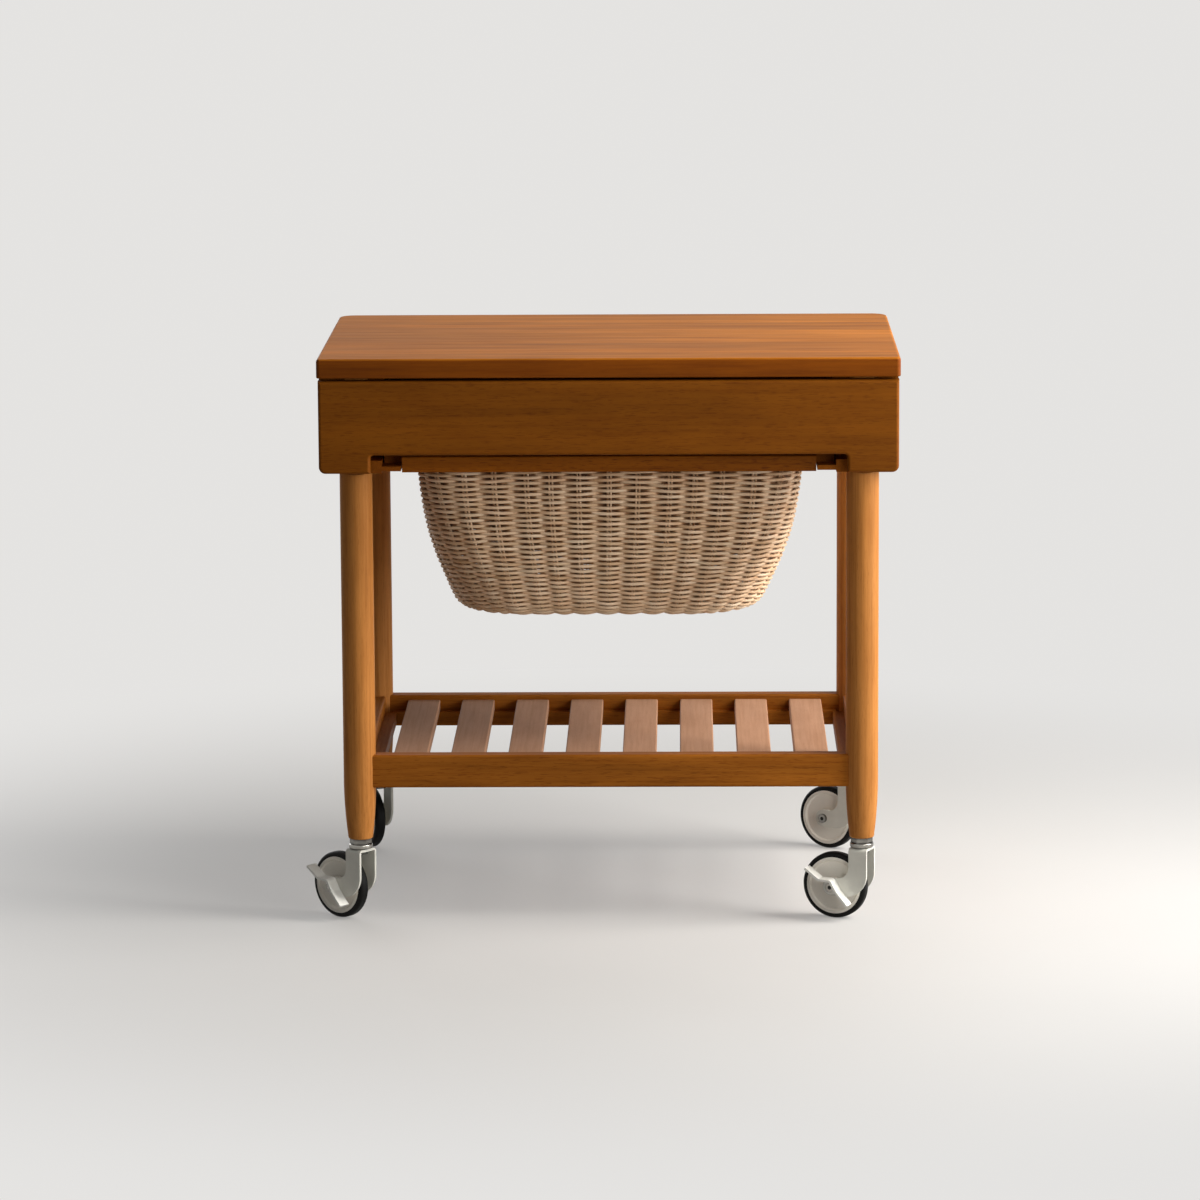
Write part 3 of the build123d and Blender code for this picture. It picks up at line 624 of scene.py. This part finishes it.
def guideObject(name, strands):
    # Each strand is a list of (place, way out, swing from -1 to 1, girth), whether it closes and,
    # where that isn't its swing, how deep it lies for the painted shade: 1 in front, -1 behind the others
    places, edges, kept = [], [], {"out": [], "swing": [], "girth": [], "tone": [], "shade": []}
    rng = random.Random(name)
    for points, closed, *sunkShade in strands:
        first = len(places)
        tone = rng.random()
        for place, out, swing, girth in points:
            places.append(place)
            kept["out"] += list(out)
            kept["swing"].append(swing)
            kept["girth"].append(girth)
            kept["tone"].append(tone)
            kept["shade"].append(sunkShade[0] if sunkShade else swing)
        edges += [(first + step, first + step + 1) for step in range(len(points) - 1)]
        if closed:
            edges.append((len(places) - 1, first))
    mesh = bpy.data.meshes.new(name)
    mesh.from_pydata(places, edges, [])
    mesh.attributes.new("out", "FLOAT_VECTOR", "POINT").data.foreach_set("vector", kept.pop("out"))
    for key, values in kept.items():
        mesh.attributes.new(key, "FLOAT", "POINT").data.foreach_set("value", values)
    holder = bpy.data.objects.new(name, mesh)
    scene.collection.objects.link(holder)
    return holder


def strandTree(material):
    tree = bpy.data.node_groups.new("wovenStrands", "GeometryNodeTree")
    face = tree.interface
    face.new_socket("Geometry", in_out="INPUT", socket_type="NodeSocketGeometry")
    for key in ("Swing", "Depth", "Height"):
        face.new_socket(key, in_out="INPUT", socket_type="NodeSocketFloat")
    face.new_socket("Sides", in_out="INPUT", socket_type="NodeSocketInt")
    face.new_socket("Geometry", in_out="OUTPUT", socket_type="NodeSocketGeometry")
    given, result = tree.nodes.new("NodeGroupInput"), tree.nodes.new("NodeGroupOutput")

    def read(name, kind="FLOAT"):
        reader = addNode(tree, "GeometryNodeInputNamedAttribute", Name=name)
        reader.data_type = kind
        return reader.outputs[0]

    def step(kind, **values):
        return addNode(tree, "GeometryNode" + kind, **values).outputs[0]

    amount = addMath(tree, "MULTIPLY", read("swing"), given.outputs["Swing"])
    reach = addVector(tree, "SCALE", read("out", "FLOAT_VECTOR"), amount)
    moved = step("SetPosition", Geometry=given.outputs["Geometry"], Offset=reach)
    upright = addNode(tree, "GeometryNodeSetCurveNormal", Curve=step("MeshToCurve", Mesh=moved))
    upright.mode = "Z_UP"
    line = step("SetCurveRadius", Curve=upright.outputs[0], Radius=read("girth"))
    way = tree.nodes.new("GeometryNodeSplineParameter").outputs["Length"]
    line = step("StoreNamedAttribute", Geometry=line, Name="way", Value=way)

    ring = step("CurvePrimitiveCircle", Radius=0.5, Resolution=given.outputs["Sides"])
    size = addNode(tree, "ShaderNodeCombineXYZ", X=given.outputs["Depth"], Y=given.outputs["Height"], Z=1)
    section = step("Transform", Geometry=ring, Scale=size.outputs[0])
    body = step("CurveToMesh", Curve=line, Profile_Curve=section, Fill_Caps=True)
    body = step("RealizeInstances", Geometry=step("SetShadeSmooth", Geometry=body))
    body = step("SetMaterial", Geometry=body, Material=material)
    tree.links.new(body, result.inputs[0])
    return tree


def weave(name, strands, tree, swing, section, sides=8):
    guide = guideObject(name + "Guide", strands)
    modifier = guide.modifiers.new("strands", "NODES")
    modifier.node_group = tree
    wanted = {"Swing": swing, "Depth": section[0], "Height": section[1], "Sides": sides}
    for item in tree.interface.items_tree:
        if item.in_out == "INPUT" and item.name in wanted:
            modifier[item.identifier] = wanted[item.name]
    bpy.context.view_layer.update()
    mesh = bpy.data.meshes.new_from_object(guide.evaluated_get(bpy.context.evaluated_depsgraph_get()))
    mesh.name = name
    bpy.data.objects.remove(guide)
    piece = bpy.data.objects.new(name, mesh)
    scene.collection.objects.link(piece)
    return piece


cane = {
    "tints": ((0.25, paint(206, 168, 130)), (0.45, paint(230, 196, 160)),
              (0.6, paint(242, 214, 182)), (0.8, paint(248, 228, 200))),
    "strandShade": ((0.0, (0.82, 0.76, 0.68, 1)), (0.5, grey(1)), (1.0, (1.04, 0.98, 0.94, 1))),
    "strandShare": 0.8,             # how much a strand's own shade counts
    "fibreShade": ((0.3, (0.86, 0.83, 0.8, 1)), (0.7, grey(1))),
    "fibreShare": 0.7,
    # painted shade: how dark a strand's colour turns where it lies behind the others
    "paintedRecessShade": ((0.08, (0.10, 0.055, 0.025, 1)), (0.30, (0.42, 0.30, 0.21, 1)), (0.46, grey(1))),
    "uneven": 0.5,                  # how much the painted shade in some gaps is darker than in others
    "unevenScale": 170.0,
    "patch": 28.0,                  # changes of tone along a strand, per metre
    "strandApart": 90.0,            # keeps one strand's patches unlike the next one's
    "fibreScale": 2200.0,
    "rough": 0.6,
    "shine": 0.3,
    "bump": (0.25, 0.0003),
}


def attribute(tree, name, output="Fac"):
    made = tree.nodes.new("ShaderNodeAttribute")
    made.attribute_name = name
    return made.outputs[output]


def caneMaterial(look):
    material, tree, shader = newMaterial("cane")
    tone = attribute(tree, "tone")
    along = addMath(tree, "MULTIPLY", attribute(tree, "way"), look["patch"])
    apart = addMath(tree, "MULTIPLY", tone, look["strandApart"])
    lengthwise = addNode(tree, "ShaderNodeCombineXYZ", X=along, Y=apart).outputs[0]
    patches = addNoise(tree, lengthwise, Scale=1.0, Detail=3.0, Roughness=0.6)
    fibres = addNoise(tree, objectPlace(tree), Scale=look["fibreScale"], Detail=2.0)
    base = addRamp(tree, patches, *look["tints"])
    base = addMix(tree, look["strandShare"], base, addRamp(tree, tone, *look["strandShade"]), "MULTIPLY")
    base = addMix(tree, look["fibreShare"], base, addRamp(tree, fibres, *look["fibreShade"]), "MULTIPLY")

    # Painted shade: where a strand lies behind the others, and on the stakes, shade is painted into its
    # colour
    facing = addVector(tree, "DOT_PRODUCT", surfaceNormal(tree), attribute(tree, "out", "Vector"))
    depth = addMath(tree, "MULTIPLY", facing, attribute(tree, "shade"))
    toss = addNoise(tree, objectPlace(tree), Scale=look["unevenScale"], Detail=1.0)
    shift = addMath(tree, "MULTIPLY_ADD", toss, look["uneven"], 0.5 - look["uneven"] / 2)
    paintedRecessShade = addRamp(tree, addMath(tree, "MULTIPLY_ADD", depth, 0.5, shift), *look["paintedRecessShade"])
    base = addMix(tree, 1.0, base, paintedRecessShade, "MULTIPLY")
    feedAll(tree, shader, Base_Color=base, Roughness=look["rough"], Specular_IOR_Level=look["shine"])
    addBump(tree, shader, fibres, *look["bump"])
    return material


def waver(look, share, way):
    # Hand-woven rows rise and fall together a little, and lie closer here than there
    turn = 2 * math.pi
    return sum(height * math.sin(turn * (around * share + down * way) + start)
               for height, around, down, start in look["wavers"])


def basketRows(look, shape, shares, aims):
    rng = random.Random(look["seed"])
    rows, way = [], look["firstRow"]
    swell, waves, apart = look["swell"]
    while way < shape.length:
        part = way / shape.length
        calm = min(look["waverRise"] * min(part, 1 - part), 1)
        girth = rng.uniform(*look["girth"])
        points = []
        for index, (share, aim) in enumerate(zip(shares, aims)):
            swing = math.cos(math.pi * (index / look["samples"] + len(rows)))
            place, out = shape.point(aim, way + calm * waver(look, share, way), look["skin"])
            thick = girth * (1 + swell * math.sin(waves * share + apart * len(rows)))
            points.append((place, out, swing, thick))
        rows.append((points, True))
        way += look["pitchTop"] + (look["pitchFoot"] - look["pitchTop"]) * part
    return rows


def basketStakes(look, shape, aims):
    # Two canes side by side for each stake, from under the border to the base
    stakes, steps = [], look["stakeSteps"]
    length = shape.length - look["stakeShort"]
    for aim in aims:
        for side in (-0.5, 0.5):
            points = []
            for step in range(steps + 1):
                place, out = shape.point(aim, look["stakeFrom"] + length * step / steps, look["skin"])
                across = Vector((-out.y, out.x, 0)).normalized()
                points.append((place + across * side * look["stakeApart"], out, 0.0, 1.0))
            stakes.append((points, False, look["sunkShade"]))
    return stakes


def chord(half, other, corner, offset):
    # Half the width of a rounded rectangle at some distance from its middle line
    past = abs(offset) - (other - corner)
    if past <= 0:
        return half
    return half - corner + math.sqrt(max(corner ** 2 - past ** 2, 0))


def baseRows(look, shape, z, outline):
    halfX, halfY, corner = outline
    strands = []
    count = int(2 * halfY / look["basePitch"])
    for row in range(count + 1):
        y = (row - count / 2) * look["basePitch"]
        reach = chord(halfX, halfY, corner, y)
        steps = max(int(2 * reach / (look["baseStick"] / look["baseSamples"])), look["baseLeast"])
        points = []
        for step in range(steps + 1):
            x = -reach + 2 * reach * step / steps
            swing = math.cos(math.pi * (x / look["baseStick"] + row))
            points.append((shape.leaned(x, y, z), Vector((0, 0, 1)), swing, 1.0))
        strands.append((points, False))
    return strands


def baseSticks(look, shape, z, outline):
    halfX, halfY, corner = outline
    sticks = []
    count = int(halfX / look["baseStick"])
    for column in range(-count, count + 1):
        x = column * look["baseStick"]
        reach = chord(halfY, halfX, corner, x)
        points = []
        for step in range(look["stickSteps"] + 1):
            y = -reach + 2 * reach * step / look["stickSteps"]
            points.append((shape.leaned(x, y, z), Vector((1, 0, 0)), 0.0, 1.0))
        sticks.append((points, False, look["sunkShade"]))
    return sticks


def borderStrands(look, shape):
    # A rolled border: strands wound round the rim
    (radiusOut, radiusUp), count = look["borderCore"], look["borderSteps"]
    core = [rimPlace(shape.halfX, shape.halfY, look["cornerTop"], index / count) for index in range(count)]
    around = sum((core[index] - core[index - 1]).length for index in range(count))
    turns = round(around / look["borderTwist"])
    strands = []
    for strand in range(look["borderStrands"]):
        points = []
        for index, middle in enumerate(core):
            ahead = core[(index + 1) % count] - core[index - 1]
            across = Vector((ahead.y, -ahead.x, 0)).normalized()
            turn = 2 * math.pi * (turns * index / count + strand / look["borderStrands"])
            z = shape.top - look["borderDrop"]
            place = Vector((shape.middle.x + middle.x, shape.middle.y + middle.y, z))
            place += across * radiusOut * math.cos(turn) + Vector((0, 0, radiusUp * math.sin(turn)))
            points.append((place, across, 0.0, 1.0))
        strands.append((points, True, 1.0))
    return strands


def makeBasket(look):
    shape = BasketShape(look)
    tree = strandTree(caneMaterial(cane))
    count = look["stakes"] * look["samples"]
    shares = []
    for index in range(count):      # stakes set by eye, so a little uneven
        share = index / count
        share += sum(size * math.sin(2 * math.pi * waves * share + start)
                     for size, waves, start in look["unevenStakes"])
        shares.append(share)
    aims = [rimPlace(shape.halfX, shape.halfY, look["cornerTop"], share) for share in shares]
    rows = basketRows(look, shape, shares, aims)
    print("basket rows:", len(rows))
    pieces = []
    split = len(look["rowPieces"])
    for number, part in enumerate(look["rowPieces"]):
        some = rows[len(rows) * number // split:len(rows) * (number + 1) // split]
        pieces.append(weave("basket_rows_" + part, some, tree, look["swing"], look["cane"]))
    stakes = basketStakes(look, shape, aims[::look["samples"]])
    pieces.append(weave("basket_stakes", stakes, tree, 0.0, look["stake"]))
    draw, z, _ = shape.wall(shape.length, look["skin"])
    outline = shape.outline(draw, z)
    pieces.append(weave("basket_base", baseRows(look, shape, z, outline), tree, look["swing"], look["cane"]))
    pieces.append(weave("basket_base_sticks", baseSticks(look, shape, z, outline), tree, 0.0, look["stake"]))
    pieces.append(weave("basket_border", borderStrands(look, shape), tree, 0.0, look["border"]))
    for piece in pieces:
        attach(piece, "basket_tray")
        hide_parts("wicker_basket")


addCamera(cameraSet)
for lampName, lampLook in lampSet.items():
    addLamp(lampName, lampLook)
addWorld(stageSet)
addFloor(stageSet)
print("camera, lamps and floor set")
dressWood()
print("wood dressed")
dressCasters()
print("casters dressed")
makeBasket(basket)
print("basket woven")

scene.view_settings.view_transform = "Standard"
